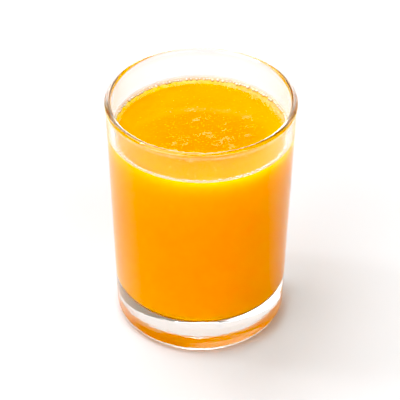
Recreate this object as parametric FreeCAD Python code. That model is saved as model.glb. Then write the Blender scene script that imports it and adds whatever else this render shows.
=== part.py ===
"""A glass of orange juice: a plain round tumbler with a heavy base, and the drink in it.

Millimetres, +Z up. The origin is the middle of the circle that the glass stands on.
Both pieces are turned shapes: a profile of lines and arcs in the XZ plane, revolved about Z.
"""
import FreeCAD, Part
import math
import os

# ---------------------------------------------------------------- tumbler
rim_diameter = 70.0         # over the rounded lip, the widest place
height = 95.2               # table to the top of the lip
base_diameter = 65.0        # the outer wall line carried down to the table
lip_width = 2.4             # diameter of the fire-polished, round lip
lip_proud = 0.2             # how far the lip stands out from the wall line
lip_blend_radius = 4.0      # hollow curve that runs from the wall into the lip
wall_at_floor = 2.9         # wall thickness where the wall meets the floor
floor_thickness = 13.3      # clear glass under the drink, in the middle
floor_corner_radius = 5.0   # inside, where the floor turns up into the wall
heel_radius = 4.0           # outside, where the wall turns under
foot_ring_width = 1.6       # flat ring that the glass stands on
push_up_depth = 0.7         # hollow of the underside, in the middle
push_up_flat_radius = 14.0  # how far from the middle the hollow stays flat

# ---------------------------------------------------------------- drink
level_below_rim = 14.0      # top of the lip down to the flat surface of the drink
meniscus_height = 1.0       # how far the drink climbs the wall
meniscus_width = 2.2        # how far from the wall it starts to climb

rim_radius = rim_diameter / 2
base_radius = base_diameter / 2
lip_radius = lip_width / 2
level = height - level_below_rim

AXIS_START = FreeCAD.Vector(0, 0, 0)
AXIS = FreeCAD.Vector(0, 0, 1)


# ---------------------------------------------------------------- plane geometry
def point(radius, z):
    """A point of a profile: distance from the axis, and height."""
    return FreeCAD.Vector(radius, 0, z)


def outward(direction):
    """The direction turned a quarter turn, to the right of someone who walks along it."""
    return FreeCAD.Vector(direction.z, 0, -direction.x)


def unit(vector):
    """The vector scaled to a length of one."""
    return vector * (1.0 / vector.Length)


def rounded_corner(before, corner, after, radius):
    """Start, middle and end of the arc that rounds a corner between two straight runs."""
    back = unit(before - corner)
    on = unit(after - corner)
    half_angle = back.getAngle(on) / 2
    setback = radius / math.tan(half_angle)
    centre = corner + unit(back + on) * (radius / math.sin(half_angle))
    middle = centre + unit(corner - centre) * radius
    return corner + back * setback, middle, corner + on * setback


def tangent_from(start, centre, radius):
    """Where a line from start touches the near side, towards the axis, of a circle."""
    to_centre = centre - start
    reach = math.sqrt(to_centre.Length ** 2 - radius ** 2)
    lean = math.asin(radius / to_centre.Length)
    along = math.atan2(to_centre.z, to_centre.x) + lean
    return start + point(math.cos(along), math.sin(along)) * reach


def line(start, end):
    """A straight edge."""
    return Part.LineSegment(start, end).toShape()


def arc(start, middle, end):
    """An edge that is an arc through three points."""
    return Part.Arc(start, middle, end).toShape()


def bend_from_flat(start, end):
    """Start, middle and end of the arc that leaves a level line at start and runs out to end."""
    span = end.x - start.x
    rise = end.z - start.z
    radius = (span ** 2 + rise ** 2) / (2 * abs(rise))
    half_turn = math.asin(span / radius) / 2
    lift = math.copysign(radius * (1 - math.cos(half_turn)), rise)
    return start, point(start.x + radius * math.sin(half_turn), start.z + lift), end


def turned(edges):
    """The solid that a closed profile makes when it is turned about the axis."""
    face = Part.Face(Part.Wire(edges))
    return face.revolve(AXIS_START, AXIS, 360)


# ---------------------------------------------------------------- lines of the glass
wall_foot = point(base_radius, 0)
wall_top = point(rim_radius - lip_proud, height)
wall_direction = unit(wall_top - wall_foot)
wall_outward = outward(wall_direction)
lip_centre = point(rim_radius - lip_radius, height - lip_radius)


def outer_wall_radius(z):
    """Radius of the straight outer wall line at a height."""
    return base_radius + (rim_radius - lip_proud - base_radius) * z / height


floor_edge = point(outer_wall_radius(floor_thickness) - wall_at_floor, floor_thickness)
inner_wall_top = tangent_from(floor_edge, lip_centre, lip_radius)
floor_middle = point(0, floor_thickness)
floor_arc = rounded_corner(floor_middle, floor_edge, inner_wall_top, floor_corner_radius)


def inner_wall_radius(z):
    """Radius of the straight inner wall line at a height."""
    share = (z - floor_edge.z) / (inner_wall_top.z - floor_edge.z)
    return floor_edge.x + (inner_wall_top.x - floor_edge.x) * share


def lip_blend():
    """Start, middle and end of the hollow arc from the outer wall line into the lip."""
    from_foot = lip_centre - wall_foot
    aside = from_foot.dot(wall_outward)
    along = from_foot.dot(wall_direction)
    across = lip_blend_radius - aside
    between = lip_radius + lip_blend_radius
    drop = math.sqrt(between ** 2 - across ** 2)
    start = wall_foot + wall_direction * (along - drop)
    centre = start + wall_outward * lip_blend_radius
    end = lip_centre + unit(centre - lip_centre) * lip_radius
    middle = centre + unit((start + end) * 0.5 - centre) * lip_blend_radius
    return start, middle, end


def tumbler():
    """The glass: hollow underside, foot ring, heel, tapered wall, round lip, inside."""
    heel = rounded_corner(point(0, 0), wall_foot, wall_top, heel_radius)
    foot_outer = heel[0]
    foot_inner = point(foot_outer.x - foot_ring_width, 0)
    hollow_middle = point(0, push_up_depth)
    hollow_edge = point(push_up_flat_radius, push_up_depth)
    hollow_bend = bend_from_flat(hollow_edge, foot_inner)
    blend = lip_blend()
    lip_top = point(lip_centre.x, height)
    edges = [
        line(hollow_middle, hollow_edge),
        arc(*hollow_bend),
        line(foot_inner, foot_outer),
        arc(*heel),
        line(heel[2], blend[0]),
        arc(*blend),
        arc(blend[2], lip_top, inner_wall_top),
        line(inner_wall_top, floor_arc[2]),
        arc(*reversed(floor_arc)),
        line(floor_arc[0], floor_middle),
        line(floor_middle, hollow_middle),
    ]
    return turned(edges)


def orange_juice():
    """The drink: fills the inside up to its level, and climbs the wall in a meniscus."""
    contact_z = level + meniscus_height
    contact = point(inner_wall_radius(contact_z), contact_z)
    flat_edge = point(contact.x - meniscus_width, level)
    surface_middle = point(0, level)
    edges = [
        line(surface_middle, flat_edge),
        arc(*bend_from_flat(flat_edge, contact)),
        line(contact, floor_arc[2]),
        arc(*reversed(floor_arc)),
        line(floor_arc[0], floor_middle),
        line(floor_middle, surface_middle),
    ]
    return turned(edges)


# ---------------------------------------------------------------- write the pieces
os.makedirs("parts", exist_ok=True)
pieces = {"tumbler": tumbler(), "orange_juice": orange_juice()}
for name, solid in pieces.items():
    solid.exportStep(os.path.join("parts", name + ".step"))
    box = solid.optimalBoundingBox(False, False)
    print(
        name,
        "valid", solid.isValid(),
        "volume_ml %.2f" % (solid.Volume / 1000),
        "z %.3f to %.3f" % (box.ZMin, box.ZMax),
        "across %.3f" % box.XLength,
    )
print("inner wall radius at the level %.3f" % inner_wall_radius(level))
print("free space above the drink_ml %.1f" % (
    math.pi * inner_wall_radius((level + height) / 2) ** 2 * level_below_rim / 1000
))
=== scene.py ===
# %% [markdown]
# # A glass of orange juice
# A small tumbler with a thick clear base, filled almost to the rim. Three things make it look real:
# the glass bends what lies behind it, the drink lets light in and scatters it back out, and a ring of
# tiny bubbles marks the line where the drink meets the wall.
#
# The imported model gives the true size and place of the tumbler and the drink. It is loaded first,
# and the box that it fills is kept, because nothing made here may stand outside it.

# %% Load the frame
import math
import random

import bpy
from mathutils import Matrix, Quaternion, Vector


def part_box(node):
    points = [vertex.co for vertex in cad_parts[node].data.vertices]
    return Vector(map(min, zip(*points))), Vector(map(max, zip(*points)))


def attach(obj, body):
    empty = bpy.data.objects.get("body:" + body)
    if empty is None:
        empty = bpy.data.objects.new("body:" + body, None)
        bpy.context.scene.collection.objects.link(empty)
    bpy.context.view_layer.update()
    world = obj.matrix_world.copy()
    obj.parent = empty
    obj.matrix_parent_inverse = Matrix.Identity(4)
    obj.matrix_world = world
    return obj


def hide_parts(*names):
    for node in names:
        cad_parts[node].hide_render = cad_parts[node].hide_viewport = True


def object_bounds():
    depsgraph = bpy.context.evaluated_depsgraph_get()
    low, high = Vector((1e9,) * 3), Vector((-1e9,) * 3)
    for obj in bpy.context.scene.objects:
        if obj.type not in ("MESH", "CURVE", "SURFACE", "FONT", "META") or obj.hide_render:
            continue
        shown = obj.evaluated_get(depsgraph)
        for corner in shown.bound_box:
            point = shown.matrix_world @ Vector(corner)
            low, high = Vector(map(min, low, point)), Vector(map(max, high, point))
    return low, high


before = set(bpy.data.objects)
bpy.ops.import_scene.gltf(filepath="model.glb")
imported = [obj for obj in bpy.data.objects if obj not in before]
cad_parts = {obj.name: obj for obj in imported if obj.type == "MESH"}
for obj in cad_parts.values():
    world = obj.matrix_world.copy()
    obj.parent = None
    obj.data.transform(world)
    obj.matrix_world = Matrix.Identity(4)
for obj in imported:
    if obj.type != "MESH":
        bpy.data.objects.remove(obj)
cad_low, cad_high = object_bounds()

print("the model fills", [round(v, 5) for v in cad_low], "to", [round(v, 5) for v in cad_high])

# %% [markdown]
# ## The camera
# A long lens looks down at the glass from about 38 degrees, so that the rim shows as an open ellipse
# and the walls hardly lean. The lens and the distance were worked out together: a nearer camera would
# make the base look narrower. The camera is rolled by a third of a degree about its line of sight. Its
# small shift is a share of the frame's width.

# %% Set up the camera
mm = 0.001
glass_height = cad_high.z
camera_distance = 606.7 * mm
camera_elevation = math.radians(37.76)
camera_roll = math.radians(0.31)
focal_length = 144.1
sensor_width = 36.0
shift_across = -0.001375
shift_up = 0.00695
nearest_seen = 10 * mm


def make_camera():
    """A camera that looks at the middle of the glass, a little off the middle of the frame."""
    data = bpy.data.cameras.new("camera")
    data.lens = focal_length
    data.sensor_width = sensor_width
    data.shift_x = shift_across
    data.shift_y = shift_up
    data.clip_start = nearest_seen
    camera = bpy.data.objects.new("camera", data)
    middle = Vector((0, 0, glass_height / 2))
    back = Vector((0, -math.cos(camera_elevation), math.sin(camera_elevation)))
    camera.location = middle + back * camera_distance
    level_view = (-back).to_track_quat("-Z", "Y")
    camera.rotation_mode = "QUATERNION"
    camera.rotation_quaternion = level_view @ Quaternion((0, 0, 1), camera_roll)
    bpy.context.collection.objects.link(camera)
    bpy.context.scene.camera = camera
    return camera


camera = make_camera()
print("camera at", [round(v, 3) for v in camera.location], "lens", focal_length)

# %% [markdown]
# ## Turned shapes
# The tumbler and the drink are round, so each one is a profile turned about the upright axis, as on a
# lathe. A profile is a list of (radius, height) points. Corners are arcs, because clear glass shows
# every kink: a hard corner would smear what is seen through it. A long straight wall gets a support
# point close to each end, which keeps the smooth shading of the small arcs out of the flat wall.

# %% Arcs and straight runs
def rounded_corner(before, corner, after, radius, steps):
    """Points of the arc that rounds a corner between two straight runs."""
    back = (before - corner).normalized()
    on = (after - corner).normalized()
    half_angle = back.angle(on) / 2
    centre = corner + (back + on).normalized() * (radius / math.sin(half_angle))
    start = corner + back * (radius / math.tan(half_angle)) - centre
    end = corner + on * (radius / math.tan(half_angle)) - centre
    return arc_about(centre, start, end, steps)


def arc_about(centre, start, end, steps):
    """Points from centre + start to centre + end, the shorter way round."""
    turn = math.atan2(start.cross(end), start.dot(end))
    points = []
    for step in range(steps + 1):
        angle = turn * step / steps
        c, s = math.cos(angle), math.sin(angle)
        points.append(centre + Vector((c * start.x - s * start.y, s * start.x + c * start.y)))
    return points


def straight(start, end, support=0.3 * mm, spans=6):
    """The points between two ends of a straight run, with one close to each end."""
    length = (end - start).length
    shares = [support / length] + [n / spans for n in range(1, spans)] + [1 - support / length]
    return [start.lerp(end, share) for share in shares]


# %% [markdown]
# Blender's Screw modifier could turn a profile too. Here the rings are written out in code, because
# the two ends of the profile then close in a single point on the axis, with no double faces there.

# %% Turn a profile
def turned_piece(name, profile, segments=288):
    """A closed smooth mesh from a profile that starts and ends on the axis."""
    vertices = [(0, 0, profile[0].y)]
    for ring in profile[1:-1]:
        for n in range(segments):
            angle = 2 * math.pi * n / segments
            vertices.append((ring.x * math.cos(angle), ring.x * math.sin(angle), ring.y))
    vertices.append((0, 0, profile[-1].y))
    rings = len(profile) - 2
    faces = []
    for n in range(segments):
        after = (n + 1) % segments
        faces.append((0, 1 + after, 1 + n))
        for ring in range(rings - 1):
            low = 1 + ring * segments
            high = low + segments
            faces.append((low + n, low + after, high + after, high + n))
        last = 1 + (rings - 1) * segments
        faces.append((last + n, last + after, len(vertices) - 1))
    mesh = bpy.data.meshes.new(name)
    mesh.from_pydata(vertices, [], faces)
    mesh.polygons.foreach_set("use_smooth", [True] * len(faces))
    piece = bpy.data.objects.new(name, mesh)
    bpy.context.collection.objects.link(piece)
    print(name, "has", len(vertices), "points and", len(faces), "faces")
    return piece


# %% [markdown]
# ## The tumbler
# A pressed and fire-polished glass: a flat foot ring round a shallow hollow, a rounded heel, a wall
# that leans out by a degree and a half, and a lip that melted into a full round. It could stay the
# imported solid, but that one has flat facets, and clear glass magnifies them. So a finer copy of the
# same profile replaces it. The height and the rim come from the frame, the rest are the sizes that
# the solid was built with.

# %% Sizes of the tumbler
rim_radius = min(cad_high.x, cad_high.y, -cad_low.x, -cad_low.y)
juice_low, juice_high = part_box("orange_juice")
floor_height = juice_low.z
base_radius = 32.5 * mm
lip_radius = 1.2 * mm
lip_proud = 0.2 * mm
lip_blend_radius = 4.0 * mm
wall_at_floor = 2.9 * mm
floor_corner_radius = 5.0 * mm
heel_radius = 4.0 * mm
foot_ring_width = 1.6 * mm
push_up_depth = 0.7 * mm
push_up_flat_radius = 14.0 * mm

wall_foot = Vector((base_radius, 0))
wall_top = Vector((rim_radius - lip_proud, glass_height))
lip_centre = Vector((rim_radius - lip_radius, glass_height - lip_radius))
outer_at_floor = wall_foot.lerp(wall_top, floor_height / glass_height).x
floor_edge = Vector((outer_at_floor - wall_at_floor, floor_height))
print("rim radius", round(rim_radius / mm, 2), "mm, floor", round(floor_height / mm, 2), "mm thick")

# %% [markdown]
# ### The lip
# A flame melts the cut edge of the glass into a round bead, a little proud of the wall. A bevel would
# give a round too, but not the hollow curve under it, so the bead and that curve are two arcs that
# meet without a kink.

# %% The lip
def inner_wall_top():
    """Where the straight inner wall touches the round of the lip."""
    to_centre = lip_centre - floor_edge
    reach = math.sqrt(to_centre.length ** 2 - lip_radius ** 2)
    lean = math.atan2(to_centre.y, to_centre.x) + math.asin(lip_radius / to_centre.length)
    return floor_edge + Vector((math.cos(lean), math.sin(lean))) * reach


inner_top = inner_wall_top()


def lip_points():
    """The hollow blend from the wall into the lip, and the lip over to the inner wall."""
    along = (wall_top - wall_foot).normalized()
    outward = Vector((along.y, -along.x))
    from_foot = lip_centre - wall_foot
    across = lip_blend_radius - from_foot.dot(outward)
    drop = math.sqrt((lip_radius + lip_blend_radius) ** 2 - across ** 2)
    start = wall_foot + along * (from_foot.dot(along) - drop)
    blend_centre = start + outward * lip_blend_radius
    meet = (blend_centre - lip_centre).normalized() * lip_radius
    blend = arc_about(blend_centre, start - blend_centre, lip_centre + meet - blend_centre, steps=10)
    top = Vector((0, lip_radius))
    outer_round = arc_about(lip_centre, meet, top, steps=20)
    inner_round = arc_about(lip_centre, top, inner_top - lip_centre, steps=16)
    return blend + outer_round[1:] + inner_round[1:]


print("the inner wall meets the lip at", [round(v / mm, 2) for v in inner_top], "mm")

# %% [markdown]
# ### The underside
# The mould pushes the bottom up a little, so that the glass stands on a ring and doesn't rock. It is
# one flat disc and one arc, since a hollow this shallow needs no more.

# %% The underside
def underside_points(inner):
    """The hollow of the underside: flat in the middle, then an arc down to the foot ring."""
    flat_edge = Vector((push_up_flat_radius, push_up_depth))
    span = inner - push_up_flat_radius
    bend_radius = (span ** 2 + push_up_depth ** 2) / (2 * push_up_depth)
    centre = flat_edge - Vector((0, bend_radius))
    bend = arc_about(centre, flat_edge - centre, Vector((inner, 0)) - centre, steps=24)
    flat_middle = Vector((0, push_up_depth))
    return [flat_middle] + straight(flat_middle, flat_edge) + bend


# %% [markdown]
# ### The whole profile
# The runs follow one another from the middle of the underside, up the outside, over the lip and down
# the inside to the middle of the floor. A closed round like this makes one solid wall of glass.

# %% Turn the tumbler
def tumbler_profile():
    """Underside, foot ring, heel, wall, lip, inner wall, corner and floor."""
    heel = rounded_corner(Vector((0, 0)), wall_foot, wall_top, heel_radius, steps=20)
    under = underside_points(heel[0].x - foot_ring_width)
    lip = lip_points()
    floor_middle = Vector((0, floor_height))
    corner = rounded_corner(inner_top, floor_edge, floor_middle, floor_corner_radius, steps=20)
    return (
        under + straight(under[-1], heel[0], support=0.1 * mm, spans=3) + heel
        + straight(heel[-1], lip[0]) + lip
        + straight(inner_top, corner[0]) + corner
        + straight(corner[-1], floor_middle) + [floor_middle]
    )


tumbler = turned_piece("clear_tumbler", tumbler_profile())
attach(tumbler, "root")
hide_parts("tumbler")

# %% [markdown]
# ## The drink
# The juice fills the inside, climbs the wall in a small meniscus and has a flat, wet surface. Its
# sides and bottom reach a little way into the glass. If they only touched, two surfaces would lie in
# the same place and the render would show an air gap, like frosted glass.

# %% Make the drink
reach_into_wall = 0.06 * mm
contact_height = juice_high.z
meniscus_height = 1.0 * mm
meniscus_width = 2.2 * mm
meniscus_power = 2.4
level = contact_height - meniscus_height


def inner_radius(z):
    """Radius of the inner wall at a height."""
    return floor_edge.lerp(inner_top, (z - floor_edge.y) / (inner_top.y - floor_edge.y)).x


def juice_profile():
    """Bottom, corner, side, meniscus and surface."""
    out = reach_into_wall
    floor_middle = Vector((0, floor_height - out))
    edge = floor_edge + Vector((out, -out))
    top = Vector((inner_radius(contact_height) + out, contact_height))
    corner = rounded_corner(floor_middle, edge, top, floor_corner_radius + out, steps=20)
    meniscus_steps = 24
    surface_rings = 30
    meniscus = []
    for n in range(meniscus_steps + 1):
        share = 1 - n / meniscus_steps
        radius = top.x - out - meniscus_width * (1 - share)
        meniscus.append(Vector((radius, level + meniscus_height * share ** meniscus_power)))
    flat_radius = meniscus[-1].x
    surface = [Vector((flat_radius * (1 - n / surface_rings), level)) for n in range(1, surface_rings)]
    return (
        [floor_middle] + straight(floor_middle, corner[0]) + corner
        + straight(corner[-1], top) + [top] + meniscus + surface + [Vector((0, level))]
    )


juice = turned_piece("orange_juice_drink", juice_profile())
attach(juice, "root")
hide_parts("orange_juice")

# %% [markdown]
# ## Froth at the wall
# Where the drink meets the wall, small bubbles collect in a ring. A particle system would be the quick
# way, but particles are lost when the model is saved for other programs. So one round bead is made,
# and copies of its points are joined into one mesh. Every bubble gets its own size and place from a
# seeded random row, which makes the same ring each time.

# %% A helper that joins many small beads
def bead(segments, rings):
    """Points and faces of a ball with a radius of one."""
    points = [Vector((0, 0, -1))]
    for ring in range(1, rings):
        tilt = math.pi * ring / rings
        for n in range(segments):
            turn = 2 * math.pi * n / segments
            flat = math.sin(tilt)
            points.append(Vector((flat * math.cos(turn), flat * math.sin(turn), -math.cos(tilt))))
    points.append(Vector((0, 0, 1)))
    faces = []
    for n in range(segments):
        after = (n + 1) % segments
        faces.append((0, 1 + after, 1 + n))
        for ring in range(rings - 2):
            low = 1 + ring * segments
            high = low + segments
            faces.append((low + n, low + after, high + after, high + n))
        last = 1 + (rings - 2) * segments
        faces.append((last + n, last + after, len(points) - 1))
    return points, faces


def scatter(name, places, segments, rings):
    """One mesh of many beads; a place is a matrix that sizes, turns and moves a bead."""
    points, faces = bead(segments, rings)
    vertices = []
    joined = []
    for place in places:
        first = len(vertices)
        vertices.extend(place @ point for point in points)
        joined.extend(tuple(first + index for index in face) for face in faces)
    mesh = bpy.data.meshes.new(name)
    mesh.from_pydata(vertices, [], joined)
    mesh.polygons.foreach_set("use_smooth", [True] * len(joined))
    piece = bpy.data.objects.new(name, mesh)
    bpy.context.collection.objects.link(piece)
    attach(piece, "root")
    print(name, "has", len(places), "beads and", len(joined), "faces")
    return piece


def surface_height(radius):
    """Height of the drink at a distance from the axis, with its climb at the wall."""
    edge = inner_radius(contact_height)
    share = max(0.0, 1 - (edge - radius) / meniscus_width)
    return level + meniscus_height * share ** meniscus_power


def ball_place(radius, angle, sink, size):
    """A bubble of a size that floats on the drink, sunk by a share of its size."""
    height = surface_height(radius) + size * (1 - sink)
    centre = Vector((radius * math.cos(angle), radius * math.sin(angle), height))
    return Matrix.Translation(centre) @ Matrix.Diagonal((size, size, size, 1))


# %% [markdown]
# ### The ring
# Surface tension pulls bubbles to the wall, where they sit in a single row with gaps. Walking round
# the wall and setting one bubble after the other keeps them from running into each other, which
# random angles would not. They are larger at the back. Much smaller ones float inside the row.

# %% The ring of bubbles at the wall
bubble_radius = (0.28, 0.54)  # in millimetres, like the lift
larger_at_right = 0.1
larger_at_back = 0.3
bubble_lift = (0.3, 0.65)
bubble_gaps = (1.0, 1.1, 1.2, 1.9, 2.6)  # in radii of the bubble before
bubble_off_wall = 1.05  # in radii too
tiny_bubbles = 420
tiny_radius = (0.07, 0.17)
tiny_from_wall = (1.0, 1.9)


def ring_of_bubbles():
    """Bubbles side by side along the wall, larger at the back, with much smaller ones inside them."""
    rng = random.Random(7)
    places = []
    angle = 0.0
    while angle < 2 * math.pi:
        growth = 1 + larger_at_right * math.cos(angle) + larger_at_back * math.sin(angle)
        size = rng.uniform(*bubble_radius) * growth * mm
        height = contact_height + rng.uniform(*bubble_lift) * mm
        from_axis = inner_radius(height) - size * bubble_off_wall
        angle += size / from_axis
        centre = Vector((from_axis * math.cos(angle), from_axis * math.sin(angle), height))
        places.append(Matrix.Translation(centre) @ Matrix.Diagonal((size, size, size, 1)))
        angle += size / from_axis * rng.choice(bubble_gaps)
    wall = inner_radius(contact_height)
    for n in range(tiny_bubbles):
        size = rng.uniform(*tiny_radius) * mm
        away = rng.uniform(*tiny_from_wall) * mm
        places.append(ball_place(wall - away, rng.uniform(0, 2 * math.pi), sink=0.6, size=size))
    return places


froth_ring = scatter("froth_bubbles_at_the_wall", ring_of_bubbles(), segments=12, rings=8)

# %% [markdown]
# ## The film on the wall
# The drink stood a little higher before it settled, and left a thin, pale film on the glass above the
# bubbles. It could be painted on the glass, but the finish of the glass has to stay clear, and the
# upper edge of the film is uneven. So it is a band of mesh a hair's breadth in front of the inner wall.

# %% Make the film
film_height_mm = 2.2
film_off_wall = 0.05 * mm
film_waves = 9


def wall_film():
    """A band round the inner wall whose upper edge rises and falls a little."""
    steps = 288
    rows = 6
    rng = random.Random(3)
    waves = []
    for n in range(film_waves):
        waves.append((rng.randint(2, 23), rng.uniform(0, 2 * math.pi), rng.uniform(0.02, 0.08)))
    vertices = []
    faces = []
    for n in range(steps):
        angle = 2 * math.pi * n / steps
        uneven = sum(size * math.sin(count * angle + start) for count, start, size in waves)
        top = film_height_mm + uneven
        for row in range(rows):
            height = contact_height + top * mm * row / (rows - 1)
            from_axis = inner_radius(height) - film_off_wall
            vertices.append((from_axis * math.cos(angle), from_axis * math.sin(angle), height))
    for n in range(steps):
        here = n * rows
        after = (n + 1) % steps * rows
        for row in range(rows - 1):
            faces.append((here + row, here + row + 1, after + row + 1, after + row))
    mesh = bpy.data.meshes.new("film_on_the_wall")
    mesh.from_pydata(vertices, [], faces)
    mesh.polygons.foreach_set("use_smooth", [True] * len(faces))
    piece = bpy.data.objects.new("film_on_the_wall", mesh)
    bpy.context.collection.objects.link(piece)
    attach(piece, "root")
    print("film_on_the_wall has", len(faces), "faces")
    return piece


film_band = wall_film()

# %% [markdown]
# ## Fine froth on top
# Pouring leaves tiny bubbles that drift to one side and gather beside the wall. An even spread would
# look like sand, so the angles come from a bell curve about one direction, and the distance from the
# wall from another.

# %% Fine froth that drifted to one side
fine_bubbles = 900
froth_heading_degrees = 38
froth_spread_degrees = 24
froth_from_wall = 0.8 * mm
froth_band_mm = 1.7
fine_radius = (0.06, 0.15)


def froth_patch():
    """Very small bubbles, thickest beside the wall at the right and behind."""
    rng = random.Random(21)
    wall = inner_radius(contact_height)
    places = []
    for n in range(fine_bubbles):
        turn = math.radians(rng.gauss(froth_heading_degrees, froth_spread_degrees))
        away = froth_from_wall + abs(rng.gauss(0, froth_band_mm)) * mm
        size = rng.uniform(*fine_radius) * mm
        places.append(ball_place(wall - away, turn, sink=0.8, size=size))
    return places


froth_fine = scatter("fine_froth_on_the_drink", froth_patch(), segments=8, rings=5)

# %% [markdown]
# ## Pulp
# Torn fruit cells float as pale flecks, in loose streaks that the pouring drew out. Each streak has a
# middle, a heading and a length, and its flecks lie thickest near the middle. Flecks alone are strewn
# over the rest. They are flattened beads, because a painted speckle would have no height.

# %% Specks of pulp
stray_specks = 340
pulp_drifts = 34
pulp_reach = 28.5  # in millimetres, like the speck
speck_radius = (0.09, 0.21)
speck_stretch = (1.0, 2.4)
speck_flatness = 0.45
speck_lift = 0.01 * mm


def pulp_specks():
    """Flat flecks that lie in the surface, in short drifts towards the front and right, and strays."""
    rng = random.Random(5)
    spots = [(rng.gauss(0, 13), rng.gauss(0, 12)) for n in range(stray_specks)]
    for drift in range(pulp_drifts):
        x = rng.gauss(6, 7)
        y = rng.gauss(-4, 6)
        heading = rng.uniform(-0.5, 0.7)
        length = rng.uniform(0.8, 2.6)
        for n in range(rng.randint(10, 40)):
            along = rng.gauss(0, length)
            aside = rng.gauss(0, 0.6)
            spot_x = x + along * math.cos(heading) - aside * math.sin(heading)
            spot_y = y + along * math.sin(heading) + aside * math.cos(heading)
            spots.append((spot_x, spot_y))
    places = []
    for x, y in spots:
        if math.hypot(x, y) > pulp_reach:
            continue
        size = rng.uniform(*speck_radius) * mm
        length = size * rng.uniform(*speck_stretch)
        centre = Matrix.Translation((x * mm, y * mm, level + speck_lift))
        turn = Matrix.Rotation(rng.uniform(0, math.pi), 4, "Z")
        places.append(centre @ turn @ Matrix.Diagonal((length, size, size * speck_flatness, 1)))
    return places


pulp = scatter("pulp_specks_on_the_drink", pulp_specks(), segments=8, rings=5)

# %% [markdown]
# ## Finishes
# Each finish is a small node tree that ends in a Principled shader. The trees could be wired by hand
# in the editor, but in code the same few helpers build them all, and a change is made in one place.

# %% Helpers for finishes
def finish(name):
    """A new material, its node tree, and its Principled shader."""
    material = bpy.data.materials.new(name)
    material.use_nodes = True
    tree = material.node_tree
    return material, tree, tree.nodes["Principled BSDF"]


def node(tree, kind, **inputs):
    """A new node with the given inputs set; underscores stand for spaces in an input's name."""
    made = tree.nodes.new(kind)
    for name, value in inputs.items():
        made.inputs[name.replace("_", " ")].default_value = value
    return made


def wear(piece, material):
    """Gives a piece one more finish."""
    piece.data.materials.append(material)
    print(piece.name, "wears", material.name, "of", len(material.node_tree.nodes), "nodes")


# %% [markdown]
# ### Patterns
# No real surface has one colour all over. These helpers give a share from 0 to 1 that changes with
# the distance from the axis, with the height, or in cloudy blotches, and blend two colours by it.
# They read the place on the object, so a pattern stays put when the view moves.

# %% Helpers for patterns
def radial_share(tree, start, end, offset):
    """From 0 to 1 as the distance from the axis, or from a point beside it, goes from start to end."""
    place = tree.nodes.new("ShaderNodeTexCoord")
    shift = tree.nodes.new("ShaderNodeVectorMath")
    shift.operation = "SUBTRACT"
    shift.inputs[1].default_value = offset
    flat = tree.nodes.new("ShaderNodeVectorMath")
    flat.operation = "MULTIPLY"
    flat.inputs[1].default_value = (1, 1, 0)
    reach = tree.nodes.new("ShaderNodeVectorMath")
    reach.operation = "LENGTH"
    share = node(tree, "ShaderNodeMapRange", From_Min=start, From_Max=end)
    share.interpolation_type = "SMOOTHSTEP"
    tree.links.new(place.outputs["Object"], shift.inputs[0])
    tree.links.new(shift.outputs["Vector"], flat.inputs[0])
    tree.links.new(flat.outputs["Vector"], reach.inputs[0])
    tree.links.new(reach.outputs["Value"], share.inputs["Value"])
    return share.outputs["Result"]


def share_along(tree, axis, start, end, low=0, high=1):
    """From low to high as the place along an axis goes from start to end."""
    place = tree.nodes.new("ShaderNodeTexCoord")
    parts = tree.nodes.new("ShaderNodeSeparateXYZ")
    share = node(tree, "ShaderNodeMapRange", From_Min=start, From_Max=end, To_Min=low, To_Max=high)
    tree.links.new(place.outputs["Object"], parts.inputs["Vector"])
    tree.links.new(parts.outputs[axis], share.inputs["Value"])
    return share.outputs["Result"]


def speckle(tree, scale, low, high):
    """A cloudy pattern from 0 to 1; scale is the number of blotches in a metre."""
    place = tree.nodes.new("ShaderNodeTexCoord")
    noise = node(tree, "ShaderNodeTexNoise", Scale=scale, Detail=4, Roughness=0.6)
    share = node(tree, "ShaderNodeMapRange", From_Min=low, From_Max=high)
    tree.links.new(place.outputs["Object"], noise.inputs["Vector"])
    tree.links.new(noise.outputs["Fac"], share.inputs["Value"])
    return share.outputs["Result"]


def blend_colours(tree, share, first, second):
    """The first colour where the share is 0, the second where it is 1."""
    mix = tree.nodes.new("ShaderNodeMix")
    mix.data_type = "RGBA"
    tree.links.new(share, mix.inputs["Factor"])
    for socket, colour in ((mix.inputs[6], first), (mix.inputs[7], second)):
        if isinstance(colour, tuple):
            socket.default_value = colour
        else:
            tree.links.new(colour, socket)
    return mix.outputs[2]


def multiply(tree, first, second):
    """The product of two values."""
    product = tree.nodes.new("ShaderNodeMath")
    product.operation = "MULTIPLY"
    tree.links.new(first, product.inputs[0])
    tree.links.new(second, product.inputs[1])
    return product.outputs["Value"]


# %% [markdown]
# ### Clear glass
# Soda glass is clear, but not quite even: the thick base is a little warm, and pressing leaves the
# base faintly wavy. The lip is tinted a little grey as painted shade, which darkens the lines of the
# rim. A thin glass shader without bending would be quicker, but the bent view through the thick base
# is what makes it look heavy. The waves are a bump that grows towards the foot, and are squashed in
# height, as the mould leaves them.

# %% Clear glass
glass_ior = 1.52
painted_lip_shade_heights = (glass_height - 3.2 * mm, glass_height - 1.8 * mm)
base_fade = (12 * mm, 9 * mm)
wavy_from = 12 * mm
wavy_to = 1 * mm

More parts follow.
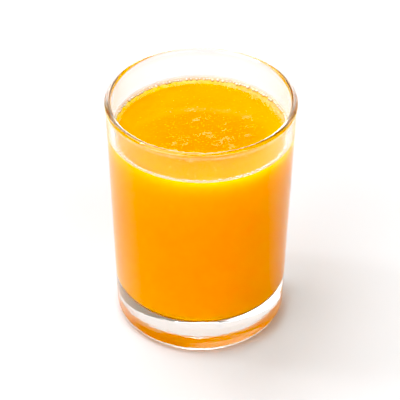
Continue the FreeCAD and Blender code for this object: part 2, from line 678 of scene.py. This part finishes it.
glass_finish, tree, shader = finish("clear soda glass")
painted_shade_at_lip = share_along(tree, "Z", *painted_lip_shade_heights)
at_base = share_along(tree, "Z", *base_fade)
# The grey at the lip is painted shade, which darkens the lines of the rim.
lip_with_painted_shade = blend_colours(tree, painted_shade_at_lip, (1, 1, 1, 1), (0.92, 0.90, 0.88, 1))
tint = blend_colours(tree, at_base, lip_with_painted_shade, (0.975, 0.955, 0.92, 1))
tree.links.new(tint, shader.inputs["Base Color"])
shader.inputs["Transmission Weight"].default_value = 1
shader.inputs["Roughness"].default_value = 0
shader.inputs["IOR"].default_value = glass_ior
place = tree.nodes.new("ShaderNodeTexCoord")
squashed = tree.nodes.new("ShaderNodeVectorMath")
squashed.operation = "MULTIPLY"
squashed.inputs[1].default_value = (1, 1, 6)
uneven = node(tree, "ShaderNodeTexNoise", Scale=90, Detail=3, Roughness=0.5)
bump = node(tree, "ShaderNodeBump", Distance=0.15 * mm)
tree.links.new(place.outputs["Object"], squashed.inputs[0])
tree.links.new(squashed.outputs["Vector"], uneven.inputs["Vector"])
tree.links.new(share_along(tree, "Z", wavy_from, wavy_to, 0.02, 1), bump.inputs["Strength"])
tree.links.new(uneven.outputs["Fac"], bump.inputs["Height"])
tree.links.new(bump.outputs["Normal"], shader.inputs["Normal"])
wear(tumbler, glass_finish)

# %% [markdown]
# ### Cloudy juice
# Juice is water full of fine solids. Light goes in, is scattered and comes back out orange. A volume
# of fog would be the true way, but it is slow and full of noise, so subsurface scattering stands in.

# %% Cloudy juice
juice_ior = 1.35


def cloudy_juice(name):
    """Light goes in, scatters and comes back out yellow to orange."""
    material, tree, shader = finish(name)
    shader.inputs["Subsurface Weight"].default_value = 1
    shader.inputs["Subsurface Radius"].default_value = (1.0, 0.8, 0.1)
    shader.inputs["Subsurface Scale"].default_value = 20 * mm
    shader.inputs["IOR"].default_value = juice_ior
    return material, tree, shader


# %% [markdown]
# ### The surface of the drink
# Seen from above the drink is deepest in colour in the middle and paler towards the wall, which is
# painted light. Right beside the wall a pale, blotchy band follows. A fine bump breaks up the gloss,
# as pulp under a wet skin does.

# %% The surface of the drink
wall = inner_radius(contact_height)
surface_finish, tree, shader = cloudy_juice("juice surface")
# Paler towards the wall is painted light.
painted_light_to_wall = radial_share(tree, 12 * mm, 30 * mm, (1 * mm, -2 * mm, 0))
orange = blend_colours(tree, painted_light_to_wall, (0.97, 0.255, 0.002, 1), (0.99, 0.32, 0.002, 1))
mottled = blend_colours(tree, speckle(tree, 900, 0.5, 0.75), orange, (0.99, 0.35, 0.015, 1))
beside_wall = radial_share(tree, wall - 2.2 * mm, wall - 0.6 * mm, (0, 0, 0))
at_wall = multiply(tree, beside_wall, speckle(tree, 500, 0.2, 0.6))
pale = blend_colours(tree, at_wall, mottled, (1.0, 0.50, 0.24, 1))
tree.links.new(pale, shader.inputs["Base Color"])
shader.inputs["Roughness"].default_value = 0.12
bump = node(tree, "ShaderNodeBump", Strength=0.25, Distance=0.05 * mm)
tree.links.new(speckle(tree, 1600, 0.3, 0.8), bump.inputs["Height"])
tree.links.new(bump.outputs["Normal"], shader.inputs["Normal"])
wear(juice, surface_finish)

# %% [markdown]
# ### The drink behind the glass
# Where the drink touches the glass it has hardly any gloss, because the step from glass to juice is
# much smaller than the step from glass to air. Only at a grazing angle does the face between them turn
# into a mirror. The usual shader reckons with air in front, so its gloss is switched off and the mirror
# is mixed in by a Fresnel node that has the ratio of the two.

# %% The drink behind the glass
def against_glass(name):
    """Juice in full contact with the wall: no gloss of its own, and a mirror at grazing angles."""
    material, tree, shader = cloudy_juice(name)
    shader.inputs["Specular IOR Level"].default_value = 0
    fresnel = node(tree, "ShaderNodeFresnel", IOR=juice_ior / glass_ior)
    mirror = node(tree, "ShaderNodeBsdfGlossy", Color=(1, 1, 1, 1), Roughness=0.0)
    mix = tree.nodes.new("ShaderNodeMixShader")
    tree.links.new(fresnel.outputs["Fac"], mix.inputs["Fac"])
    tree.links.new(shader.outputs["BSDF"], mix.inputs[1])
    tree.links.new(mirror.outputs["BSDF"], mix.inputs[2])
    tree.links.new(mix.outputs["Shader"], tree.nodes["Material Output"].inputs["Surface"])
    return material, tree, shader


behind_finish, tree, shader = against_glass("juice against the glass")
cloud = blend_colours(tree, speckle(tree, 160, 0.3, 0.7), (1.0, 0.39, 0.003, 1), (1.0, 0.43, 0.005, 1))
# Paler towards the top is painted light, for the light that comes in through the surface.
upwards = share_along(tree, "Z", level - 24 * mm, level + 1 * mm)
paler_up_painted_light = blend_colours(tree, upwards, cloud, (1.0, 0.50, 0.005, 1))
tree.links.new(paler_up_painted_light, shader.inputs["Base Color"])
wear(juice, behind_finish)

# %% [markdown]
# ### The froth line
# The topmost half millimetre of the drink against the glass is froth, which shows as a pale line. It
# is the same kind of finish with a paler colour and no scattering, so that the line stays narrow.

# %% The froth line
froth_line_height = 0.5 * mm
edge_finish, tree, shader = against_glass("froth line of the juice")
shader.inputs["Subsurface Weight"].default_value = 0
broken_up = speckle(tree, 700, 0.35, 0.65)
line_colour = blend_colours(tree, broken_up, (1.0, 0.42, 0.04, 1), (1.0, 0.58, 0.16, 1))
tree.links.new(line_colour, shader.inputs["Base Color"])
wear(juice, edge_finish)

for face in juice.data.polygons:
    if face.normal.z > 0.1:
        face.material_index = 0
    elif face.center.z > contact_height - froth_line_height:
        face.material_index = 2
    else:
        face.material_index = 1
top_faces = sum(1 for face in juice.data.polygons if face.material_index == 0)
print("the surface of the drink takes", top_faces, "of", len(juice.data.polygons), "faces")

# %% [markdown]
# ### Froth
# A bubble is a thin shell. Clear shells would be true, but at this size they vanish, so a cloudy bead
# takes two tones by the direction of its surface: pale on top as a painted highlight where it faces up
# to the light, and dark below as painted shade.

# %% Froth
froth_finish, tree, shader = finish("froth")
shader.inputs["Subsurface Weight"].default_value = 0.6
shader.inputs["Subsurface Radius"].default_value = (1.0, 0.6, 0.3)
shader.inputs["Subsurface Scale"].default_value = 0.4 * mm
shader.inputs["Transmission Weight"].default_value = 0.3
shader.inputs["Roughness"].default_value = 0.02
shader.inputs["IOR"].default_value = 1.4
facing = tree.nodes.new("ShaderNodeNewGeometry")
facing_parts = tree.nodes.new("ShaderNodeSeparateXYZ")
tree.links.new(facing.outputs["Normal"], facing_parts.inputs["Vector"])
painted_lit_top = node(tree, "ShaderNodeMapRange", From_Min=0.15, From_Max=0.6)
tree.links.new(facing_parts.outputs["Z"], painted_lit_top.inputs["Value"])
lit = blend_colours(tree, speckle(tree, 900, 0.3, 0.7), (1.0, 0.92, 0.75, 1), (1.0, 0.98, 0.92, 1))
# Pale on top is a painted highlight, dark below is painted shade.
shell = blend_colours(tree, painted_lit_top.outputs["Result"], (0.62, 0.36, 0.2, 1), lit)
tree.links.new(shell, shader.inputs["Base Color"])
wear(froth_ring, froth_finish)

# %% [markdown]
# ### Fine froth
# These bubbles are too small to be seen one by one, so one warm, soft tone is enough.

# %% Fine froth
fine_froth_finish, tree, shader = finish("fine froth")
shader.inputs["Subsurface Weight"].default_value = 1
shader.inputs["Subsurface Radius"].default_value = (1.0, 0.6, 0.3)
shader.inputs["Subsurface Scale"].default_value = 0.4 * mm
shader.inputs["Roughness"].default_value = 0.1
foam = blend_colours(tree, speckle(tree, 900, 0.3, 0.7), (1.0, 0.60, 0.16, 1), (1.0, 0.78, 0.36, 1))
tree.links.new(foam, shader.inputs["Base Color"])
wear(froth_fine, fine_froth_finish)

# %% [markdown]
# ### The film
# The film is densest just above the drink and thins out upwards and towards the front, where it has
# run off. Its alpha carries that, so no second mesh is needed.

# %% The film
film_finish, tree, shader = finish("thin film of juice")
shader.inputs["Roughness"].default_value = 0.3
stain = blend_colours(tree, speckle(tree, 500, 0.3, 0.7), (0.74, 0.48, 0.30, 1), (0.86, 0.62, 0.42, 1))
tree.links.new(stain, shader.inputs["Base Color"])
film_top = contact_height + film_height_mm * mm
thickness = share_along(tree, "Z", film_top, contact_height, 0.08, 1)
at_back = share_along(tree, "Y", -24 * mm, 10 * mm, 0.12, 1)
cover = multiply(tree, thickness, at_back)
tree.links.new(cover, shader.inputs["Alpha"])
wear(film_band, film_finish)

# %% [markdown]
# ### Pulp
# Flecks of pulp are wet and let light through, paler than the drink. Scattering again, over a shorter
# way than in the drink, keeps them soft.

# %% Pulp
pulp_finish, tree, shader = finish("pulp")
shader.inputs["Subsurface Weight"].default_value = 1
shader.inputs["Subsurface Radius"].default_value = (1.0, 0.6, 0.2)
shader.inputs["Subsurface Scale"].default_value = 1 * mm
shader.inputs["Roughness"].default_value = 0.25
flesh = blend_colours(tree, speckle(tree, 600, 0.3, 0.7), (1.0, 0.52, 0.07, 1), (1.0, 0.72, 0.2, 1))
tree.links.new(flesh, shader.inputs["Base Color"])
wear(pulp, pulp_finish)

# %% [markdown]
# ## Floor
# The glass stands on a plain pale floor. It is a single large square that runs out of sight, with
# hardly any gloss, so that nothing but the soft shadow shows on it.

# %% Floor
def make_floor():
    """A large square sheet at the height that the glass stands on."""
    side = 3.0
    mesh = bpy.data.meshes.new("studio_floor")
    corners = [(-side, -side, 0), (side, -side, 0), (side, side, 0), (-side, side, 0)]
    mesh.from_pydata(corners, [], [(0, 1, 2, 3)])
    piece = bpy.data.objects.new("studio_floor", mesh)
    bpy.context.collection.objects.link(piece)
    return piece


floor = make_floor()
floor_finish, tree, shader = finish("white studio floor")
shader.inputs["Base Color"].default_value = (0.58, 0.58, 0.58, 1)
shader.inputs["Roughness"].default_value = 0.9
shader.inputs["Specular IOR Level"].default_value = 0.1
wear(floor, floor_finish)

# %% [markdown]
# ## Light
# A dim room with soft boxes round the glass. Clear glass shows whatever is round it: an evenly bright
# room would leave it with no edges, and the dark between the boxes draws the lines of the rim and the
# base. Area lamps would do it too, but patches of the world have no distance and no lamp to be seen.
# Each patch is where a direction lies within an angle of the middle of its box.

# %% A helper for soft boxes
world = bpy.data.worlds.new("studio")
world.use_nodes = True
tree = world.node_tree
direction = tree.nodes.new("ShaderNodeTexCoord")
room_light = 0.28


def soft_box(so_far, towards, half_angle, strength, softness):
    """Adds a round patch of light in one direction to the light that is there so far."""
    aim = tree.nodes.new("ShaderNodeVectorMath")
    aim.operation = "DOT_PRODUCT"
    aim.inputs[1].default_value = Vector(towards).normalized()
    outer = math.cos(math.radians(half_angle + softness))
    inner = math.cos(math.radians(half_angle - softness))
    patch = node(tree, "ShaderNodeMapRange", From_Min=outer, From_Max=inner, To_Min=0, To_Max=strength)
    patch.interpolation_type = "SMOOTHSTEP"
    total = tree.nodes.new("ShaderNodeMath")
    total.operation = "ADD"
    tree.links.new(direction.outputs["Generated"], aim.inputs[0])
    tree.links.new(aim.outputs["Value"], patch.inputs["Value"])
    tree.links.new(patch.outputs["Result"], total.inputs[0])
    if isinstance(so_far, float):
        total.inputs[1].default_value = so_far
    else:
        tree.links.new(so_far, total.inputs[1])
    return total.outputs["Value"]


# %% [markdown]
# ### The boxes
# The large box above gives more light than any other. There is one at each side of the front and a
# faint one behind. A low one behind draws a white line along the front of the lip. A small, strong
# lamp stands at the left. Light has to pass many surfaces of glass and scatter many times in the
# drink, so the limits on its bounces are raised.

# %% The soft boxes
soft_boxes = {
    "large box above": ((-0.36, 0.26, 0.9), 28, 4.1, 6),
    "box at the front left": ((-0.7, -0.65, 0.5), 26, 3.4, 6),
    "box at the front right": ((0.5, -0.72, 0.7), 22, 2.8, 6),
    "faint box behind": ((0, 1, 0), 30, 0.9, 12),
    "low box behind": ((0, 1, 0.2), 12, 8.0, 3),
    "small lamp at the left": ((-0.55, 0.1, 0.8), 3, 40.0, 1),
}
light = room_light
for name, (towards, half_angle, strength, softness) in soft_boxes.items():
    light = soft_box(light, towards, half_angle, strength, softness)
    print(name, "reaches", half_angle, "degrees from its middle, strength", strength)
tree.links.new(light, tree.nodes["Background"].inputs["Strength"])
tree.nodes["Background"].inputs["Color"].default_value = (1, 1, 1, 1)
bpy.context.scene.world = world

cycles = bpy.context.scene.cycles
cycles.max_bounces = 120
cycles.blur_glossy = 0
cycles.diffuse_bounces = 60
cycles.glossy_bounces = 80
cycles.transmission_bounces = 80

# %% [markdown]
# ## Colour of the picture
# The Standard view keeps the orange as strong as it is mixed. The black level then takes a little
# away from every colour, most from blue, which deepens the orange. This belongs to the picture alone.
# A model saved from this scene doesn't carry it, so the drink may look paler in another program.

# %% Colour
view = bpy.context.scene.view_settings
view.view_transform = "Standard"
view.look = "None"
view.use_curve_mapping = True
view.curve_mapping.black_level = (0.03, 0.05, 0.10)
view.curve_mapping.update()
print("view", view.view_transform, "black level", [round(v, 3) for v in view.curve_mapping.black_level])
